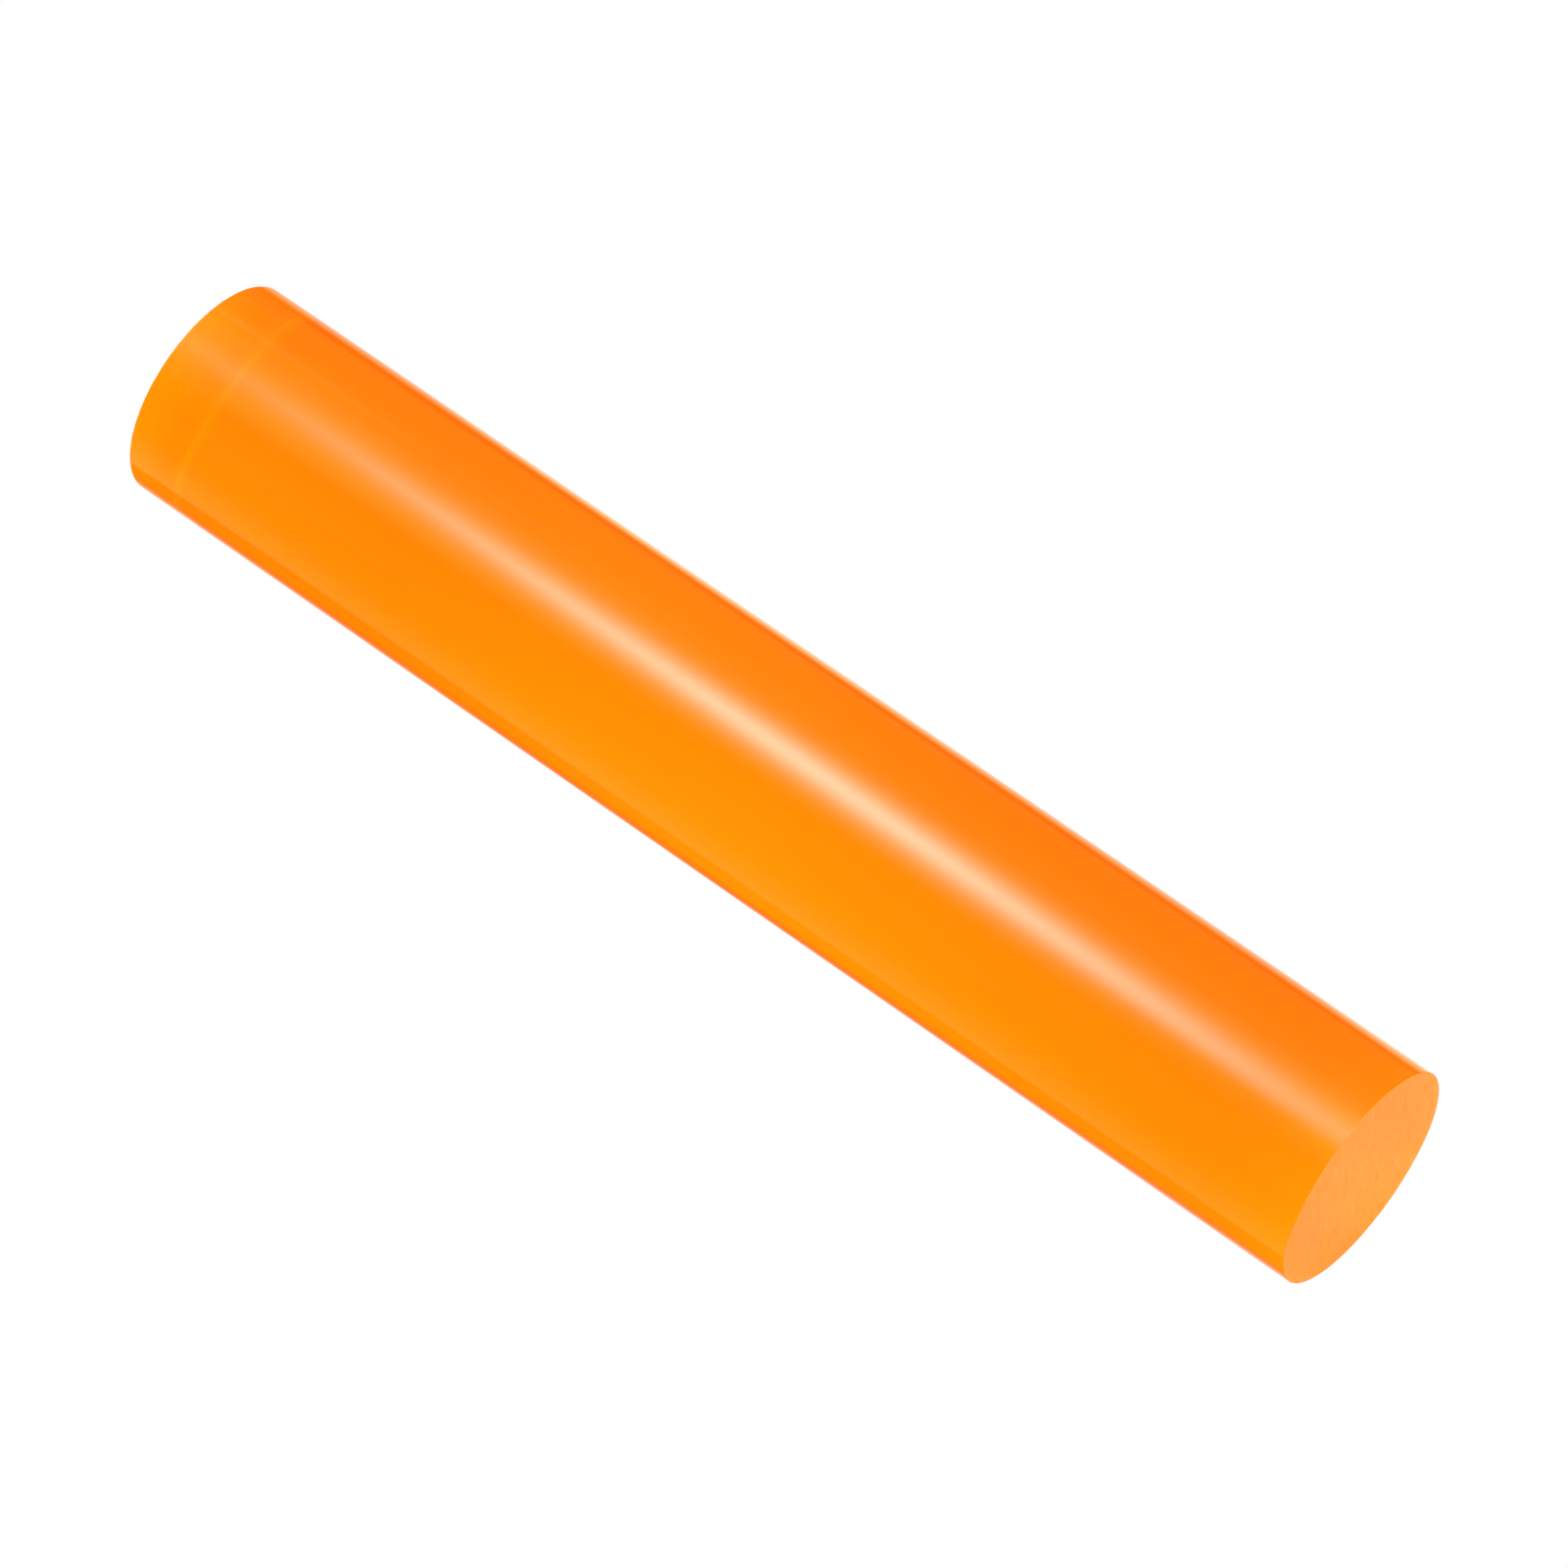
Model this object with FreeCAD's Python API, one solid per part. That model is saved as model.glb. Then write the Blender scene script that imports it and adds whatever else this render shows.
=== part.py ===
"""Short solid round rod of transparent tinted acrylic, sawn square at both ends.

Millimetres. The rod lies along X, with +Z up. The origin is on its axis, half
way along it, so the ground is the plane Z = -rod_diameter / 2.
"""

import FreeCAD
import Part
import os

Vector = FreeCAD.Vector

# Driving dimensions
rod_diameter = 25.0
rod_length = 6 * 25.4  # 6 inches, sawn end to sawn end
edge_break = 0.15      # 45 degree deburr on the rim of each sawn end

# Derived
radius = rod_diameter / 2
half_length = rod_length / 2

if not 0 < edge_break < radius / 10:
    raise ValueError("edge_break must be a small positive part of the radius")


def make_rod():
    """Half profile turned about X: two flat ends, two deburr cones and the barrel."""
    half_profile = [
        Vector(-half_length, 0, 0),
        Vector(-half_length, 0, radius - edge_break),
        Vector(-half_length + edge_break, 0, radius),
        Vector(half_length - edge_break, 0, radius),
        Vector(half_length, 0, radius - edge_break),
        Vector(half_length, 0, 0),
    ]
    outline = Part.makePolygon(half_profile + half_profile[:1])
    # Revolving a face gives a solid.
    return Part.Face(outline).revolve(Vector(0, 0, 0), Vector(1, 0, 0), 360)


rod = make_rod()
if not (rod.isValid() and rod.isClosed() and rod.Volume > 0):
    raise RuntimeError("the rod is not a valid closed solid")

os.makedirs("parts", exist_ok=True)
rod.exportStep("parts/rod.step")
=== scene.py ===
"""A short transparent orange acrylic rod with sawn ends, lying along X on a white floor.

The rod is built round the middle of the CAD rod: its barrel runs from -X to +X, and Z is up.
The camera looks down on it from +X, -Y.
"""
import math

import bpy
import numpy as np
from mathutils import Matrix, Vector


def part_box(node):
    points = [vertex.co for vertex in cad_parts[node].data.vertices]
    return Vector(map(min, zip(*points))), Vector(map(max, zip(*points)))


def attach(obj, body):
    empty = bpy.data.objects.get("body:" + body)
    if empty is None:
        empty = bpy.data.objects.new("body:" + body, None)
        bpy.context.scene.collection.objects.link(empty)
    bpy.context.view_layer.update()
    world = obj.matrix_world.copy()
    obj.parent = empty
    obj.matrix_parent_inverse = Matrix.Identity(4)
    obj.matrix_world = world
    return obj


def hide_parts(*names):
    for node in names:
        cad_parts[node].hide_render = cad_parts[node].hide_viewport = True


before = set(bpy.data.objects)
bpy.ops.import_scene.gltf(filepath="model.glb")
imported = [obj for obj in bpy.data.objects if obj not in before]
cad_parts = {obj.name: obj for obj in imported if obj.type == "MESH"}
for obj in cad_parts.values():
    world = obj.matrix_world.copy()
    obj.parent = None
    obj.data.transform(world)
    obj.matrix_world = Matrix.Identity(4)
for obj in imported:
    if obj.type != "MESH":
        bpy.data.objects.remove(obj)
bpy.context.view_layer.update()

# ---------------------------------------------------------------- sizes, in metres
low_corner, high_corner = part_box("rod")
HALF = (high_corner.x - low_corner.x) / 2.0
RADIUS = (high_corner.z - low_corner.z) / 2.0
MID = (low_corner + high_corner) / 2.0
MM = 0.001
EDGE = 0.15 * MM          # mean width of the broken edge at each end

AROUND = 480              # points round the barrel
GRID = AROUND // 4        # cells along each side of a sawn face's grid
EDGE_STEPS = 6            # rows across a broken edge
EDGE_SOFTNESS = 0.55      # 0 is a flat 45 degree break, 1 a quarter round
SQUARING = 20 * MM        # length of barrel that follows an out-of-square end

# Rings of the barrel, as distances inward from each broken edge. The middle ring is added apart.
STATIONS = np.concatenate([[0.03, 0.10, 0.28, 0.7], np.linspace(1.6, 76.2, 48)[:-1]]) * MM

# The two ends, by the sign of x. blade: the saw blade's centre (y, z) in metres.
# square: how far out of square, in mm along x: everywhere, at +Y rim, at +Z rim.
ENDS = {
    -1: dict(edge_seed=31, saw_seed=500, blade=(-0.151, -0.012), square=(0.0, -0.032, 0.029)),
    1: dict(edge_seed=41, saw_seed=700, blade=(0.148, 0.019), square=(0.010, 0.058, 0.096)),
}

phi = 2 * math.pi * np.arange(AROUND) / AROUND
cos, sin = np.cos(phi), np.sin(phi)


# ---------------------------------------------------------------- smooth value noise, seeded
def lattice(seed, shape):
    return np.random.default_rng(seed).uniform(-1.0, 1.0, shape)


def smooth(t):
    return t * t * t * (t * (6 * t - 15) + 10)


def noise1(seed, x, size=1024):
    values = lattice(seed, size)
    i = np.floor(x).astype(int)
    part = smooth(x - i)
    return values[i % size] * (1 - part) + values[(i + 1) % size] * part


def noise2(seed, x, y, size=256):
    values = lattice(seed, (size, size))
    i, j = np.floor(x).astype(int), np.floor(y).astype(int)
    part_x, part_y = smooth(x - i), smooth(y - j)

    def row(j):
        return (values[i % size, j % size] * (1 - part_x)
                + values[(i + 1) % size, j % size] * part_x)

    return row(j) * (1 - part_y) + row(j + 1) * part_y


def ring_noise(seed, cycles):
    """Smooth noise round the rim that closes on itself."""
    return noise2(seed, cycles * (1 + cos) + 11.3, cycles * (1 + sin) + 5.7)


# ---------------------------------------------------------------- shape of the rod's skin
def saw_relief(sign, y, z):
    """Depth in metres, 0 or more, of the marks a circular saw leaves on an end: nearly straight
    arcs about the blade's far-off centre, coarse feed ridges with finer tooth marks between."""
    seed = ENDS[sign]["saw_seed"]
    blade_y, blade_z = ENDS[sign]["blade"]
    distance = np.hypot(y - blade_y, z - blade_z)
    along = np.arctan2(z - blade_z, y - blade_y) * np.hypot(blade_y, blade_z)
    distance = distance + 0.25 * MM * noise1(seed + 1, along / (6 * MM))
    feed = noise1(seed + 2, distance / (1.7 * MM))
    tooth = noise2(seed + 3, distance / (0.62 * MM), along / (9 * MM))
    patch = 0.65 + 0.35 * noise2(seed + 4, y / (5 * MM) + 40, z / (9 * MM) + 40)
    height = 0.55 * feed + 0.45 * tooth * patch
    return 0.011 * MM * (1.0 + np.clip(height, -1, 1))


def edge_width(sign):
    """Width of an end's broken edge round the rim, a little uneven, as a hand tool leaves it."""
    seed = ENDS[sign]["edge_seed"]
    uneven = 1.0 + 0.28 * ring_noise(seed, 3.0) + 0.16 * ring_noise(seed + 1, 11.0)
    return np.clip(EDGE * uneven, 0.6 * EDGE, 1.5 * EDGE)


def barrel_depth(x):
    """The barrel's slow waviness round the ring at x, inward only, in metres."""
    u = (x + HALF) / (27 * MM)
    wave = noise2(71, u, 1.6 * (1 + cos) + 3) + 0.6 * noise2(72, u * 0.45, 1.2 * (1 + sin) + 9)
    return 0.0045 * MM * (1.0 + np.clip(0.6 * wave, -1, 1))


def ring(x, radius, sawn):
    """One ring of points, and how far it belongs to a sawn face, 0 to 1."""
    return np.stack(np.broadcast_arrays(x, radius * cos, radius * sin), 1), sawn


def half_rings(sign):
    """The rings of one half of the rod, from the sawn face's rim inward."""
    width = edge_width(sign)
    rings = []
    for i in range(EDGE_STEPS + 1):
        t = i / EDGE_STEPS                        # 0 on the sawn face, 1 on the barrel
        sawn = 1.0 - t
        angle = t * math.pi / 2
        inward = (1 - EDGE_SOFTNESS) * t + EDGE_SOFTNESS * (1 - math.cos(angle))
        outward = (1 - EDGE_SOFTNESS) * t + EDGE_SOFTNESS * math.sin(angle)
        radius = RADIUS - width * (1 - outward)
        # the saw relief fades out across the edge, so that face and rim meet
        relief = saw_relief(sign, radius * cos, radius * sin) * sawn ** 2
        x = sign * (HALF - width * inward - relief)
        rings.append(ring(x, radius - barrel_depth(sign * HALF) * (1 - sawn), sawn))
    for station in STATIONS:
        x = sign * (HALF - width - station)
        rings.append(ring(x, RADIUS - barrel_depth(float(x.mean())), 0.0))
    return rings


def sawn_face(sign, rim_start, start):
    """A square grid folded onto the disc, so no pole. Its border uses the rim's points.
    Returns the points inside the border and all the quads."""
    steps = np.linspace(-1, 1, GRID + 1)
    a, b = np.meshgrid(steps, steps, indexing="ij")
    a_leads = np.abs(a) >= np.abs(b)
    safe_a, safe_b = np.where(a == 0, 1, a), np.where(b == 0, 1, b)
    reach = np.where(a_leads, a, b)
    eighth = math.pi / 4
    angle = np.where(a_leads, eighth * (b / safe_a), math.pi / 2 - eighth * (a / safe_b))
    angle = np.where(reach < 0, angle + math.pi, angle)
    rim_index = np.round(angle / (2 * math.pi / AROUND)).astype(int) % AROUND

    rim_radius = RADIUS - edge_width(sign)
    radius = np.abs(reach) * np.interp(
        angle % (2 * math.pi), np.append(phi, 2 * math.pi), np.append(rim_radius, rim_radius[0]))
    y, z = radius * np.cos(angle), radius * np.sin(angle)
    x = sign * (HALF - saw_relief(sign, y, z))

    inner = np.zeros(a.shape, bool)
    inner[1:-1, 1:-1] = True
    index = np.empty(a.shape, int)
    index[inner] = start + np.arange(inner.sum())
    index[~inner] = rim_start + rim_index[~inner]
    quads = np.stack([index[:-1, :-1], index[1:, :-1], index[1:, 1:], index[:-1, 1:]], -1)
    quads = quads.reshape(-1, 4)
    return np.stack([x[inner], y[inner], z[inner]], 1), quads if sign > 0 else quads[:, ::-1]


def draw_out_of_square(points):
    """Slants both ends a little. The last of the barrel is drawn out or in to follow them."""
    y, z = points[:, 1] / RADIUS, points[:, 2] / RADIUS

    def shift(sign):
        everywhere, at_y, at_z = ENDS[sign]["square"]
        return everywhere + at_y * y + at_z * z

    nearness = np.clip(np.abs(points[:, 0]) / SQUARING - (HALF / SQUARING - 1), 0, 1)
    points[:, 0] += np.where(points[:, 0] > 0, shift(1), shift(-1)) * MM * smooth(nearness)


def rod_mesh():
    middle = ring(0.0, RADIUS - barrel_depth(0.0), 0.0)
    rings = half_rings(-1) + [middle] + half_rings(1)[::-1]
    points = [ring_points for ring_points, _ in rings]
    sawn = [np.full(AROUND, value) for _, value in rings]

    here = np.arange(AROUND)
    beside = (here + 1) % AROUND
    starts = [AROUND * i for i in range(len(rings))]
    faces = [np.stack([a + here, b + here, b + beside, a + beside], 1)[:, ::-1]
             for a, b in zip(starts[:-1], starts[1:])]

    total = AROUND * len(rings)
    for sign, rim_start in ((-1, starts[0]), (1, starts[-1])):
        face_points, quads = sawn_face(sign, rim_start, total)
        points.append(face_points)
        sawn.append(np.full(len(face_points), 1.0))
        faces.append(quads)
        total += len(face_points)

    points = np.concatenate(points)
    draw_out_of_square(points)
    points += np.array(MID)
    faces = np.concatenate(faces)

    mesh = bpy.data.meshes.new("rod_skin")
    mesh.vertices.add(len(points))
    mesh.vertices.foreach_set("co", points.astype(np.float32).ravel())
    mesh.loops.add(faces.size)
    mesh.loops.foreach_set("vertex_index", faces.astype(np.int32).ravel())
    mesh.polygons.add(len(faces))
    mesh.polygons.foreach_set("loop_start", (4 * np.arange(len(faces))).astype(np.int32))
    mesh.update(calc_edges=True)
    mesh.validate()
    mesh.shade_smooth()
    layer = mesh.attributes.new("sawn", "FLOAT", "POINT")
    layer.data.foreach_set("value", np.concatenate(sawn).astype(np.float32))
    return mesh


# ---------------------------------------------------------------- writing node trees
WHITE = (1, 1, 1, 1)
DEGREES = 180 / math.pi          # degrees in a radian
MOST_NOISE = (0.3, 0.7)          # where nearly all of a noise's values lie


class Wire:
    """A node's output. Arithmetic on it adds math nodes to its tree."""

    def __init__(self, graph, socket):
        self.graph, self.socket = graph, socket

    def __add__(self, other):
        return self.graph.maths("ADD", self, other)

    def __sub__(self, other):
        return self.graph.maths("SUBTRACT", self, other)

    def __rsub__(self, other):
        return self.graph.maths("SUBTRACT", other, self)

    def __mul__(self, other):
        return self.graph.maths("MULTIPLY", self, other)

    def __truediv__(self, other):
        return self.graph.maths("DIVIDE", self, other)

    def __gt__(self, other):
        return self.graph.maths("GREATER_THAN", self, other)

    def __lt__(self, other):
        return self.graph.maths("LESS_THAN", self, other)

    def __abs__(self):
        return self.graph.maths("ABSOLUTE", self)


class Graph:
    """The emptied node tree of a material, light or world, and short ways to fill it."""

    def __init__(self, owner):
        owner.use_nodes = True
        self.tree = owner.node_tree
        self.tree.nodes.clear()

    def add(self, kind, inputs, **settings):
        """Adds a node. inputs maps an input's name or number to a Wire or a value."""
        node = self.tree.nodes.new("ShaderNode" + kind)
        for name, value in settings.items():
            setattr(node, name, value)
        for key, value in inputs.items():
            if isinstance(value, Wire):
                self.tree.links.new(value.socket, node.inputs[key])
            else:
                node.inputs[key].default_value = value
        return node

    def wire(self, kind, inputs, output=0, **settings):
        """Adds a node and returns one of its outputs."""
        return Wire(self, self.add(kind, inputs, **settings).outputs[output])

    def maths(self, operation, *values):
        return self.wire("Math", dict(enumerate(values)), operation=operation)

    def vector(self, x, y, z):
        return self.wire("CombineXYZ", {0: x, 1: y, 2: z})

    def split(self, vector):
        return [Wire(self, socket) for socket in self.add("SeparateXYZ", {0: vector}).outputs]

    def mix(self, share, a, b):
        return self.wire("Mix", {0: share, 2: a, 3: b}, data_type="FLOAT")

    def mix_colour(self, share, a, b, blend="MIX"):
        return self.wire("Mix", {0: share, 6: a, 7: b}, output=2,
                         data_type="RGBA", blend_type=blend)

    def noise(self, vector, scale=1.0, detail=2.0, rough=0.5, distortion=0.0):
        inputs = {"Vector": vector, "Scale": scale, "Detail": detail,
                  "Roughness": rough, "Distortion": distortion}
        return self.wire("TexNoise", inputs, output="Fac", noise_dimensions="3D")

    def streaks(self, axes, per_metre, **settings):
        """Noise stretched by its own number of cells per metre along each axis."""
        scaled = [axis * count for axis, count in zip(axes, per_metre)]
        return self.noise(self.vector(*scaled), **settings)

    def remap(self, value, span, to=(0.0, 1.0)):
        """Carries value from span onto another span, held at its ends."""
        return self.wire("MapRange", dict(enumerate((value, *span, *to))), clamp=True)

    def ramp(self, value, span, stops, scale=1.0):
        """A colour ramp over span. Stops are (place, grey) or (place, (r, g, b)) in rising order,
        stored divided by scale and multiplied back after the ramp."""
        low, high = span
        node = self.add("ValToRGB", {0: self.remap(value, span)})
        elements = node.color_ramp.elements
        while len(elements) > 1:
            elements.remove(elements[-1])
        for i, (place, colour) in enumerate(stops):
            if isinstance(colour, (int, float)):
                colour = (colour,) * 3
            position = (place - low) / (high - low)
            element = elements.new(position) if i else elements[0]
            element.position = position
            element.color = tuple(part / scale for part in colour) + (1,)
        colour = Wire(self, node.outputs[0])
        if scale == 1.0:
            return colour
        return self.wire("VectorMath", {0: colour, 3: scale}, operation="SCALE")

    def bell(self, q):
        """A smooth bump of height 1 and unit width about q = 0."""
        return self.maths("EXPONENT", q * q * -0.5)

    def bump_at(self, value, centre, width):
        return self.bell((value - centre) * (1.0 / width))

    def glow(self, colour, strength=1.0, kind="Emission"):
        return self.wire(kind, {"Color": colour, "Strength": strength})

    def by_ray(self, straight, mirrored, through, otherwise):
        """One shader for what the camera sees straight, one for mirror reflections, one for the
        view through the rod, and one for everything else."""
        path = self.add("LightPath", {})

        def pick(flag, no, yes):
            return self.wire("MixShader", {0: Wire(self, path.outputs[flag]), 1: no, 2: yes})

        # a rough refraction counts as glossy too, so transmission is asked after
        inner = pick("Is Transmission Ray", pick("Is Glossy Ray", otherwise, mirrored), through)
        return pick("Is Camera Ray", inner, straight)


# ---------------------------------------------------------------- the rod's material
# Painted glow a sawn end shows from inside, standing in for the light it scatters back: (bearing
# of the sight line in degrees, colour)
PAINTED_END_GLOW = [(bearing, (1, green, 0.002)) for bearing, green in [
    (-160, 0.24), (-152, 0.25), (-147, 0.275), (-143, 0.30), (-137, 0.305), (-131, 0.295),
    (-124, 0.28), (-118, 0.316), (-112, 0.350), (-106, 0.316), (-100, 0.236), (-89, 0.171)]]

ABSORBED = (1, 15, 97)           # red, green and blue absorption per metre

# Base colours, each pair mixed by a noise
BARREL_COLOURS = (1.0, 0.255, 0.0085, 1), (1.0, 0.267, 0.0100, 1)
END_COLOURS = (1.0, 0.385, 0.014, 1), (1.0, 0.475, 0.068, 1)
HIGH_TICK_COLOUR = (1.0, 0.52, 0.115, 1)
LOW_TICK_COLOUR = (1.0, 0.35, 0.018, 1)
# painted shade for the broken edge, a deeper colour that dims its bright line
EDGE_SHADE_COLOUR = (1.0, 0.272, 0.026, 1)
# painted glow: a fixed emission colour standing in for the dye's fluorescence
PAINTED_DYE_GLOW_COLOUR = (1.0, 0.20, 0.001, 1)


def orange_acrylic():
    material = bpy.data.materials.new("orange_acrylic")
    k = Graph(material)
    where = k.wire("TexCoord", {}, output="Object")
    x, y, z = k.split(where)
    sawn = k.wire("Attribute", {}, output="Fac",
                  attribute_name="sawn", attribute_type="GEOMETRY")
    cut = k.remap(sawn, (0.05, 0.3))
    barrel = 1.0 - cut
    bevel = sawn * (1.0 - sawn) * 4.0             # 1 halfway across a broken edge
    plus_end = x > 0.0

    # barrel: drawn lines along the rod, fine rubs, a few handling smears
    drawn = k.streaks((x, y, z), per_metre=(5.0, 900.0, 900.0), detail=3.0, rough=0.55)
    fine = k.streaks((x, y, z), per_metre=(60.0, 3200.0, 3200.0), rough=0.6)
    smear = k.noise(where, scale=48.0, detail=4.0, rough=0.6, distortion=0.6)
    barrel_rough = (k.remap(smear, (0.35, 0.75), to=(0.035, 0.085))
                    + k.remap(drawn, MOST_NOISE, to=(0.0, 0.02)))

    # sawn ends: arcs about the blade's centre
    def length(a, b):
        return k.maths("SQRT", a * a + b * b)

    def blade_distance(sign):
        blade_y, blade_z = ENDS[sign]["blade"]
        return length(y - blade_y, z - blade_z)

    arc = (k.mix(plus_end, blade_distance(-1), blade_distance(1)), z, x)
    marks = k.streaks(arc, per_metre=(1500.0, 90.0, 50.0), detail=4.0, rough=0.65,
                      distortion=0.15)
    teeth = k.streaks(arc, per_metre=(1900.0, 460.0, 50.0), rough=0.55, distortion=0.3)
    tick = k.streaks(arc, per_metre=(1500.0, 330.0, 50.0), detail=1.0)
    grit = k.noise(where, scale=9000.0, rough=0.6)
    blotch = k.streaks((x, y, z), per_metre=(100.0, 260.0, 150.0), detail=3.0, rough=0.6)
    end_rough = (k.remap(marks, MOST_NOISE, to=(0.50, 0.66))
                 + k.remap(blotch, MOST_NOISE, to=(-0.03, 0.03)))
    scored = marks * 0.45 + teeth * 0.55

    # colour: the end has single deeper and shallower tooth marks, short and upright, and the
    # broken edge is painted a deeper colour, painted shade that dims its bright line
    tone = k.remap(k.noise(where, scale=16.0), MOST_NOISE)
    barrel_colour = k.mix_colour(tone, *BARREL_COLOURS)
    end_colour = k.mix_colour(k.remap(scored, MOST_NOISE), *END_COLOURS)
    for span, tick_colour in (((0.62, 0.74), HIGH_TICK_COLOUR), ((0.38, 0.28), LOW_TICK_COLOUR)):
        end_colour = k.mix_colour(k.remap(tick, span, to=(0.0, 0.75)), end_colour, tick_colour)
    end_colour = k.mix_colour(bevel * 0.7, end_colour, EDGE_SHADE_COLOUR)
    colour = k.mix_colour(cut, barrel_colour, end_colour)

    # transmission: full in the barrel, under half on the ends, least on the +X broken edge
    end_clear = k.remap(blotch, MOST_NOISE, to=(0.45, 0.48)) * (1.0 - bevel * plus_end * 0.8)
    clear = k.mix(cut, 1.0, end_clear)

    # surface relief, its depth in metres
    normal = k.wire("Bump", {
        "Strength": 1.0,
        "Distance": k.mix(cut, 0.0000012, 0.00004),
        "Height": k.mix(cut, drawn * 0.55 + fine * 0.12, scored + grit * 0.3)})

    # Painted glow: a fixed emission stands in for the dye's own fluorescence, which the real rod
    # shows in white light. From inside, a sawn end shows a painted glow for the light it scatters
    # back, by the bearing of the sight line about X.
    inside = k.wire("NewGeometry", {}, output="Backfacing")
    lit_end = cut * inside
    _, sight_y, sight_z = k.split(k.wire("NewGeometry", {}, output="Incoming"))
    slant = k.maths("ARCTAN2", sight_z * -1.0, sight_y) * DEGREES
    glow_colour = k.mix_colour(lit_end, PAINTED_DYE_GLOW_COLOUR, k.ramp(slant, (-180.0, 0.0), PAINTED_END_GLOW))

    # painted glow: the ends glow more toward the rim in their lower half
    low = k.remap(length(y, z), (7 * MM, 12.3 * MM), to=(0.0, 0.08)) * (z < 0.0)
    end_strength = k.mix(bevel, low + 1.08, 1.02)
    # painted glow: a soft paler ring where the far rim is seen through the rod
    from_end = HALF - abs(x)
    painted_rim_glow = k.remap(from_end, (0.3 * MM, 1.4 * MM), to=(1.0, 0.0)) * (inside * barrel)
    glow_strength = k.mix(lit_end, 0.35, end_strength) + painted_rim_glow * 0.58
    # painted light: the last of the barrel before the +X end glows more, as if lit from that end
    close = k.remap(x, (HALF - 16 * MM, HALF))
    glow_strength = glow_strength + close * close * barrel * 0.08

    surface = k.wire("BsdfPrincipled", {
        "Base Color": colour,
        "Roughness": k.mix(cut, barrel_rough, end_rough),
        "Transmission Weight": clear,
        "Normal": normal,
        "IOR": 1.49,
        "Emission Color": glow_colour,
        "Emission Strength": glow_strength})
    most = max(ABSORBED)
    volume = k.wire("VolumeAbsorption", {
        "Color": tuple(1 - part / most for part in ABSORBED) + (1,),
        "Density": most})
    k.add("OutputMaterial", {"Surface": surface, "Volume": volume})
    material.cycles.emission_sampling = "NONE"
    return material


# ---------------------------------------------------------------- the floor
FLOOR_HALF = 6.0

# Painted reflection: what mirror reflections show across the floor, lit strips and a painted
# shadow of the rod between about -21 and 19 mm: (mm along y, colour)
PAINTED_STRIPS = [
    (-120, 0.01), (-100, 0.012), (-52, (0.12, 0.08, 0.05)), (-41, (0.3, 0.2, 0.085)),
    (-28, (0.5, 0.32, 0.105)), (-24, (0.6, 0.38, 0.15)), (-21.4, (0.6, 0.38, 0.15)),
    (-20.6, (0.10, 0.02, 0.001)), (0, (0.20, 0.04, 0.001)), (19, (0.5, 0.2, 0.05)),
    (23, (1.0, 0.95, 0.75)), (28, (1.1, 1.07, 0.86)), (33, (1.1, 0.96, 0.75)),
    (37.5, (1.05, 0.88, 0.54)), (42, (1.0, 0.69, 0.31)), (47.6, (0.9, 0.45, 0.126)),
    (53.5, (0.35, 0.144, 0.04)), (60, (0.015, 0.015, 0.03)), (75, 0.03), (88, 0.06), (120, 0.07)]

# Brightness of the painted reflection strips along the rod, on its +Y and -Y sides: (metres along
# x, factor)
PLUS_Y_LEVEL = [
    (-0.090, 0.62), (-0.081, 0.62), (-0.069, 0.7), (-0.051, 0.97), (-0.033, 1.1),
    (-0.013, 1.03), (0.007, 0.83), (0.020, 0.82), (0.045, 0.8), (0.053, 0.8), (0.060, 1.0)]
MINUS_Y_LEVEL = [(-0.090, 1.6), (-0.081, 1.6), (-0.076, 1.4), (-0.066, 1.05), (-0.050, 1.0)]

# Painted light: the lit sliver of floor under the rod's -Y side, as mirror reflections show it:
# (mm along y, colour)
PAINTED_SLIVER = [
    (-18, 0.0), (-14, (0.02, 0.03, 0.008)), (-13.3, (0.04, 0.06, 0.015)),
    (-12.6, (0.06, 0.06, 0.026)), (-11.84, (0.10, 0.05, 0.053)), (-10.96, (0.25, 0.16, 0.15)),
    (-9.9, (0.6, 0.42, 0.40)), (-8, (0.8, 0.7, 0.7)), (-5, 0.0)]
# How far the sliver is moved toward -Y: (metres along x, mm before SLIVER_BACK is taken off)
SLIVER_SHIFT = [
    (-0.074, 1.05), (-0.055, 0.75), (-0.035, 0.25), (0, 0.0), (0.03, 0.55), (0.060, 1.25),
    (0.072, 1.45)]
SLIVER_BACK = 0.45


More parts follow.
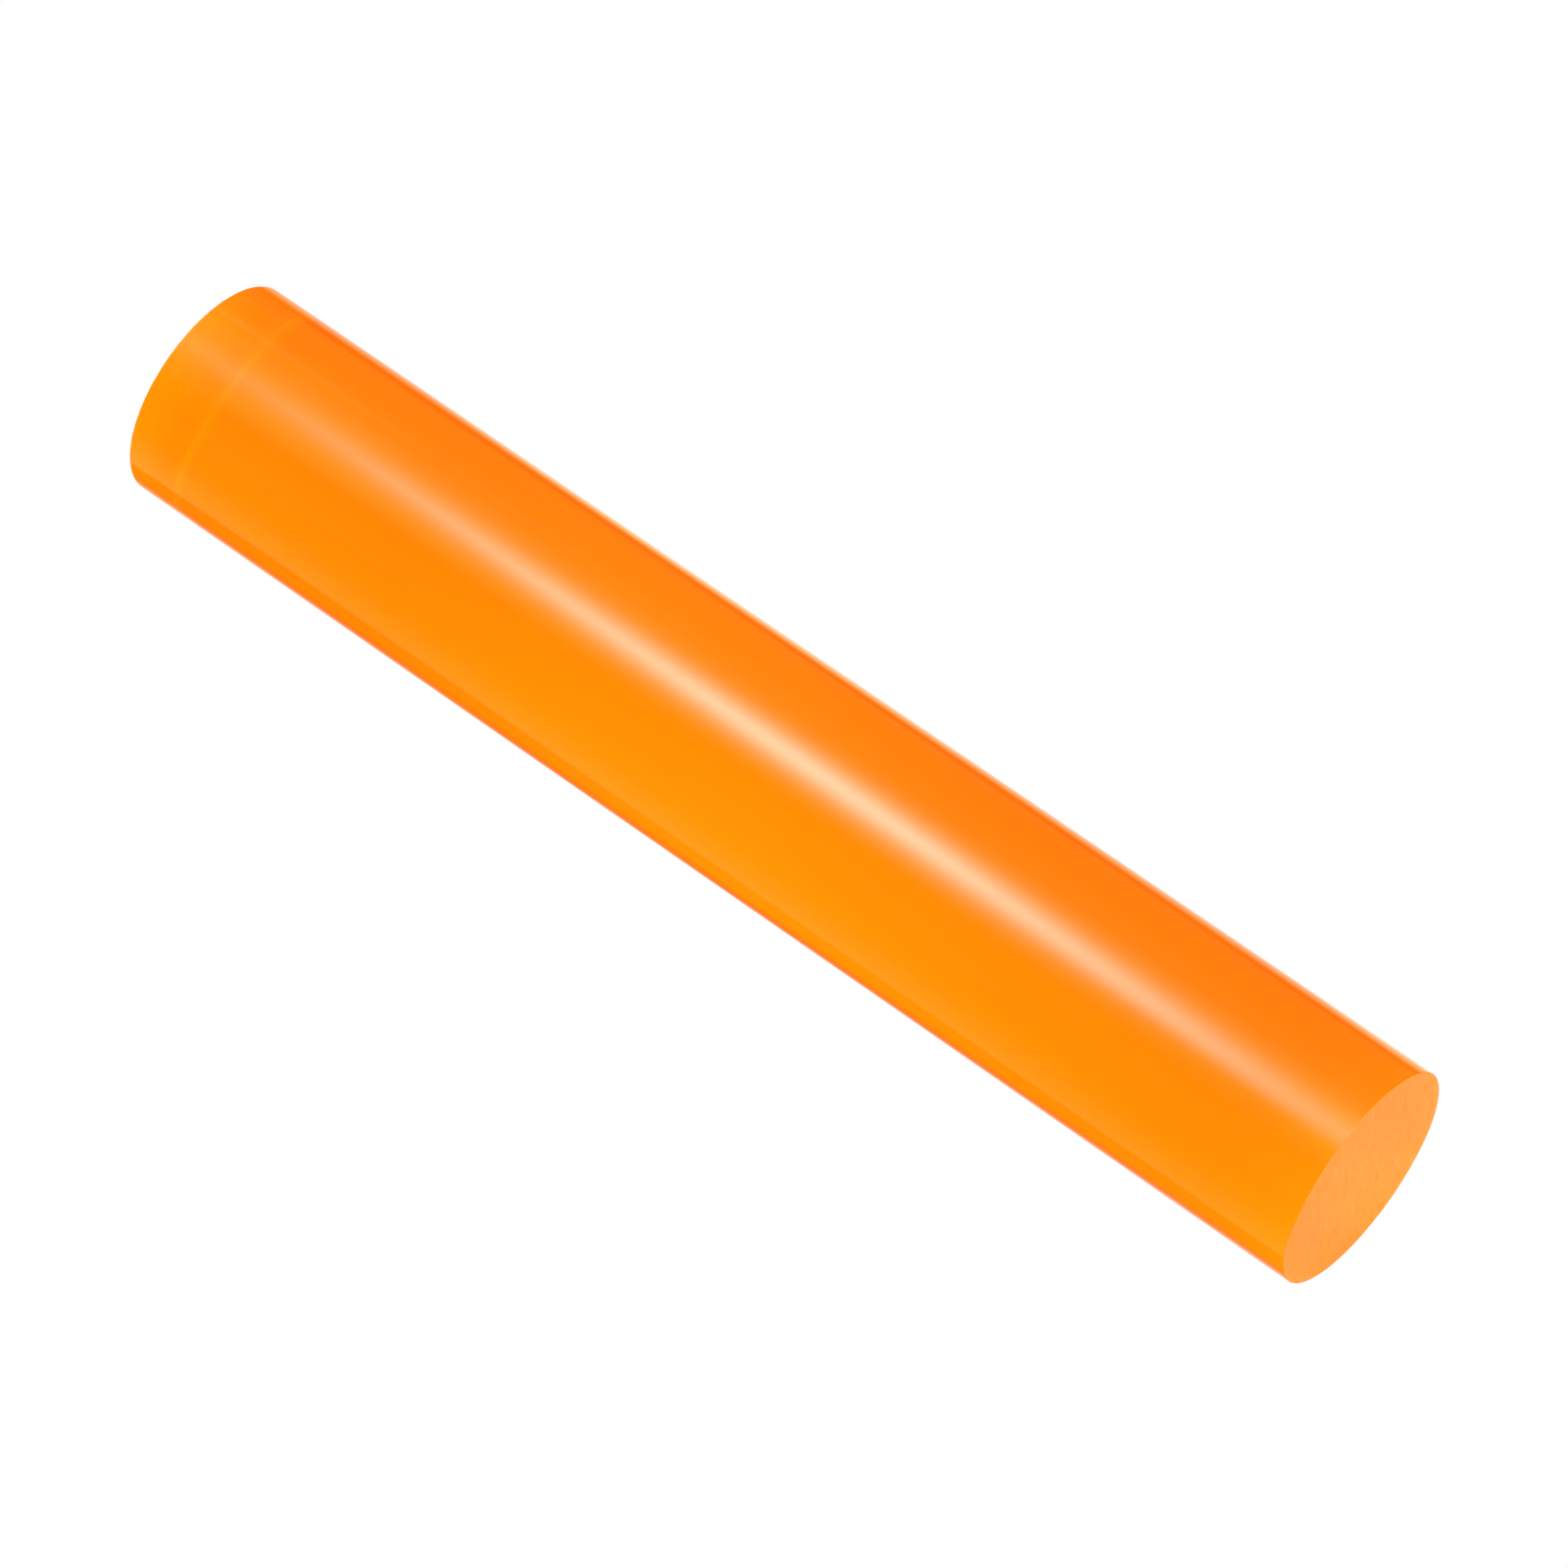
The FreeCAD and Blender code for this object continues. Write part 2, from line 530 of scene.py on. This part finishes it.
def pale_floor():
    """A real white floor for the light it sends, and plain white to the camera. In mirror
    reflections it shows painted lit strips beside the rod and a painted shadow of the rod."""
    material = bpy.data.materials.new("pale_floor")
    k = Graph(material)
    sheet = k.wire("BsdfDiffuse", {"Color": (0.9, 0.9, 0.9, 1)})
    x, y, _ = k.split(k.wire("NewGeometry", {}, output="Position"))
    along = (-0.1, 0.1)

    # the painted reflection strips step toward +Y near the -X end, and the outer +Y ones further
    # at +X
    step = k.remap(x, (-62 * MM, -80 * MM)) * (1.3 * MM)
    wider = (k.remap(x, (0.0, 30 * MM), to=(0.0, 3.3 * MM))
             + k.remap(x, (46 * MM, 58 * MM), to=(0.0, 3.0 * MM)))
    step = step + wider * k.remap(y, (36 * MM, 50 * MM))
    strips = k.ramp((y - step) * 1000.0, (-120.0, 120.0), PAINTED_STRIPS, scale=2.0)
    plus_level = k.ramp(x, along, PLUS_Y_LEVEL, scale=2.0)
    minus_level = k.ramp(x, along, MINUS_Y_LEVEL, scale=2.0)
    side_level = k.mix_colour(y > 0.0, minus_level, plus_level)
    strips = k.mix_colour(1.0, strips, side_level, blend="MULTIPLY")

    shift = k.split(k.ramp(x, along, SLIVER_SHIFT, scale=2.0))[0] - SLIVER_BACK
    sliver = k.ramp(y * 1000.0 + shift, (-20.0, 0.0), PAINTED_SLIVER)
    strips = k.mix_colour(1.0, strips, sliver, blend="ADD")

    # painted reflection: plain grey past both ends of the rod
    beyond = k.maths("MAXIMUM", k.remap(x, (HALF - 1 * MM, HALF + 2 * MM)),
                     k.remap(x, (-HALF - 6 * MM, -HALF - 14 * MM)))
    past = beyond * k.remap(abs(y), (0.022, 0.032), to=(1.0, 0.0))
    mirrored = k.mix_colour(past, strips, (0.5, 0.5, 0.5, 1))
    k.add("OutputMaterial", {0: k.by_ray(
        straight=k.glow(WHITE), mirrored=k.glow(mirrored), through=sheet, otherwise=sheet)})
    material.cycles.emission_sampling = "NONE"
    return material


def floor_mesh():
    ground = MID.z - RADIUS
    mesh = bpy.data.meshes.new("floor")
    corners = [(x * FLOOR_HALF, y * FLOOR_HALF, ground)
               for x, y in ((-1, -1), (1, -1), (1, 1), (-1, 1))]
    mesh.from_pydata(corners, [], [(0, 1, 2, 3)])
    return mesh


# ---------------------------------------------------------------- the lamp
def softbox(location, size, sigma_x, sigma_y, radiance):
    """A square lamp that faces down and fades out smoothly from its middle, where its radiance
    is given. Across y it has a bright core and long tails, uneven along x."""
    light = bpy.data.lights.new("softbox", "AREA")
    light.shape = "SQUARE"
    light.size = size
    light.energy = 1.0
    k = Graph(light)
    x, y, _ = k.split(k.wire("NewGeometry", {}, output="Position"))
    u = (x - location.x) * (1.0 / sigma_x)
    skew = k.remap(u, (-1.9, -0.9), to=(0.009, 0.0))
    v = y - (skew + location.y)

    # half width and steepness of the fade across y, which change along u
    minus_y = v < 0.0
    plus_x = (0.4, 1.3)
    narrower = minus_y * k.remap(u, plus_x, to=(0.0, 0.08))
    broader = k.remap(u, (-1.6, -2.1), to=(0.0, 0.10))
    half_width = (1.0 - narrower + broader) * (1.281 * sigma_y)
    power = (k.remap(u, (-2.0, -0.9), to=(1.45, 1.7))
             + minus_y * k.remap(u, plus_x, to=(0.0, 0.8)))
    across = k.maths("EXPONENT", k.maths("POWER", abs(v) / half_width, power) * -1.0)
    across = across * k.remap(u, (0.6, 1.3), to=(1.0, 1.06))
    fall = across * k.bell(u)
    # an area lamp of energy E emits E / (4 * area) per unit of strength
    k.add("OutputLight", {0: k.glow(WHITE, strength=fall * (radiance * 4 * size * size))})

    lamp = bpy.data.objects.new("softbox", light)
    lamp.location = location
    lamp.visible_transmission = False
    lamp.visible_camera = False
    return lamp


# ---------------------------------------------------------------- the world
# Bearings are degrees about the X axis: 0 toward -Y, 90 up, 180 toward +Y, -90 down.
ALL_BEARINGS = (-180.0, 180.0)

# The backdrop seen through the rod: (bearing, colour)
THROUGH = [
    (-180, 1.24), (-178, 1.23), (-171, 1.19), (-166, 1.20), (-161, 1.16), (-154, 1.14),
    (-145, 1.11), (-138, 1.05), (-133, 1.06), (-127, 1.02), (-122, 0.97), (-110, 0.91),
    (-97, 0.90), (-90, (0.90, 0.83, 0.83)), (-81, (0.84, 0.755, 0.755)),
    (-64, (0.84, 0.73, 0.73)), (-61, (0.84, 0.74, 0.74)), (-58.6, (0.80, 0.70, 0.70)),
    (-56.6, (0.74, 0.55, 0.55)), (-53, (0.62, 0.40, 0.40)), (-47, (0.7, 0.5, 0.5)),
    (-34, (0.8, 0.6, 0.6)), (0, 0.85), (60, 1.1), (90, 1.2), (150, 1.2),
    (162, (0.3, 0.86, 0.86)), (169, (0.26, 0.82, 0.84)), (174, (0.40, 1.12, 1.12)),
    (176.5, (1.1, 1.20, 1.20)), (180, 1.24)]

# How the backdrop varies along the rod. Each row holds one factor per place, in mm along x,
# for a band of bearings.
LEVEL_PLACES = (-90, -73, -68, -56, -38, -20, 0, 20, 33, 45, 58, 66, 72, 78, 90)
UPPER = (1, 1.04, 1.02, 0.95, 0.95, 1.05, 1.0, 0.90, 0.88, 0.84, 0.84, 0.89, 1.12, 1.25, 1)
MIDDLE = (1, 1.26, 1.27, 1.20, 1.17, 1.24, 1.22, 1.18, 1.11, 1.05, 1.02, 1.26, 1.38, 1.42, 1)
LOWER = (1, 0.98, 0.94, 0.936, 0.92, 1.058, 1.107, 1.057, 1.0, 0.975, 0.953, 1.075, 1.22, 1.30, 1)
EDGEWISE = (1, 0.70, 0.73, 0.80, 0.78, 0.90, 1.1, 1.06, 0.96, 0.93, 0.9, 0.95, 1.1, 1.15, 1)
# the camera's x and distance, which turn a place on the rod into a sight line's x
SIGHT_X = 0.327
SIGHT_DISTANCE = 0.909

# What the barrel mirrors: (bearing, grey)
MIRRORED = [
    (-180, 0.06), (-170, 0.05), (0, 0.004), (48, 0.012), (60, 0.125), (76, 0.10), (104, 0.14),
    (119, 0.27), (122.5, 0.23), (126, 0.13), (136, 0.105), (154, 0.06), (180, 0.06)]
# Strength of the thin bright line: (x of the direction, strength)
LINE_POWER = [(-0.46, 0.34), (-0.435, 0.24), (-0.415, 0.09), (-0.36, 0.04), (-0.2, 0.02)]


def seen_through(k, x, bearing):
    """The unevenly lit backdrop that shows through the rod."""
    def along(factors):
        stops = [((place * MM - SIGHT_X) / SIGHT_DISTANCE, factor)
                 for place, factor in zip(LEVEL_PLACES, factors)]
        return k.ramp(x, (-0.5, -0.22), stops, scale=2.0)

    def tint(colour, factor):
        """Scales green and blue only."""
        return k.mix_colour(1.0, colour, k.vector(1.0, factor, factor), blend="MULTIPLY")

    through = k.ramp(bearing, ALL_BEARINGS, THROUGH, scale=2.0)
    level = k.mix_colour(k.remap(bearing, (-97.0, -103.0)), along(UPPER), along(MIDDLE))
    level = k.mix_colour(k.remap(bearing, (-116.0, -121.0)), level, along(LOWER))
    level = k.mix_colour(k.remap(abs(bearing), (164.0, 171.0)), level, along(EDGEWISE))
    through = tint(through, k.split(level)[0])

    # two soft paler patches, toward -X and toward +X
    lift = (k.bump_at(bearing, centre=-94.0, width=6.0)
            * k.remap(x, (-0.405, -0.435), to=(0.0, 0.18)))
    lift = lift + (k.bump_at(bearing, centre=-109.5, width=5.0)
                   * k.remap(x, (-0.315, -0.295), to=(0.0, 0.10)))
    return tint(through, lift + 1.0)


def seen_mirrored(k, x, bearing):
    """The dim room that the rod mirrors."""
    dim = k.ramp(bearing, ALL_BEARINGS, MIRRORED)

    # a thin bright edge of the softbox's frame, strongest and warmest toward -X
    line_bearing = k.remap(x, (-0.44, -0.30), to=(135.7, 131.8))
    line = (k.bump_at(bearing, centre=line_bearing, width=2.3)
            * k.ramp(x, (-0.5, 0.0), LINE_POWER))
    warm = line * k.remap(x, (-0.418, -0.438), to=(1.0, 2.5))
    dim = k.mix_colour(1.0, dim, k.vector(warm, warm, line), blend="ADD")

    # the overhead strip that other viewing angles mirror, left out about x = -0.36
    apart = abs(x + 0.36)
    window = k.remap(apart, (0.13, 0.24)) * k.remap(abs(x), (0.72, 0.86), to=(1.0, 0.0))
    strip = k.bump_at(bearing, centre=88.0, width=9.0) * 4.5 * window
    dim = k.mix_colour(1.0, dim, strip, blend="ADD")

    # what a sawn end mirrors: warm toward -X, grey toward +X
    ends = (k.remap(x, (0.75, 0.95), to=(0.0, 0.5))
            + k.remap(x, (-0.75, -0.95), to=(0.0, 0.25)))
    end_colour = k.mix_colour(x > 0.0, (0.75, 0.5, 0.22, 1), (0.7, 0.7, 0.7, 1))
    return k.mix_colour(ends, dim, end_colour)


def studio():
    world = bpy.data.worlds.new("studio")
    k = Graph(world)
    x, y, z = k.split(k.wire("TexCoord", {}, output="Generated"))
    bearing = k.maths("ARCTAN2", z, y * -1.0) * DEGREES

    def sky(colour, strength=1.0):
        return k.glow(colour, strength, kind="Background")

    k.add("OutputWorld", {0: k.by_ray(
        straight=sky(WHITE),
        mirrored=sky(seen_mirrored(k, x, bearing)),
        through=sky(seen_through(k, x, bearing)),
        otherwise=sky(WHITE, strength=0.9))})
    return world


# ---------------------------------------------------------------- the camera
def make_camera():
    lens = bpy.data.cameras.new("camera")
    lens.sensor_width = 36.0
    lens.lens = 205.25
    lens.clip_start = 0.01
    lens.clip_end = 50.0
    lens.shift_x = -0.00025
    lens.shift_y = 0.00021875
    camera = bpy.data.objects.new("camera", lens)
    azimuth, elevation = math.radians(39.603), math.radians(55.877)
    back = Vector((math.sin(azimuth) * math.cos(elevation),
                   -math.cos(azimuth) * math.cos(elevation),
                   math.sin(elevation)))
    right = Vector((math.cos(azimuth), math.sin(azimuth), 0))
    up = back.cross(right)
    camera.location = MID + Vector((0.32739, -0.39313, 0.75270))
    camera.rotation_mode = "QUATERNION"
    camera.rotation_quaternion = Matrix((right, up, back)).transposed().to_quaternion()
    return camera


# ---------------------------------------------------------------- putting it together
scene = bpy.context.scene


def link(thing):
    scene.collection.objects.link(thing)
    return thing


rod = link(bpy.data.objects.new("rod_body", rod_mesh()))
rod.data.materials.append(orange_acrylic())
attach(rod, "root")
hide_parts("rod")

floor = link(bpy.data.objects.new("floor", floor_mesh()))
floor.data.materials.append(pale_floor())
floor.visible_transmission = False

link(softbox(location=MID + Vector((-0.102, -0.017, 0.31)), size=0.36,
             sigma_x=0.0525, sigma_y=0.0575, radiance=7.5))
scene.world = studio()
scene.camera = link(make_camera())
scene.view_settings.view_transform = "Standard"
scene.view_settings.look = "None"
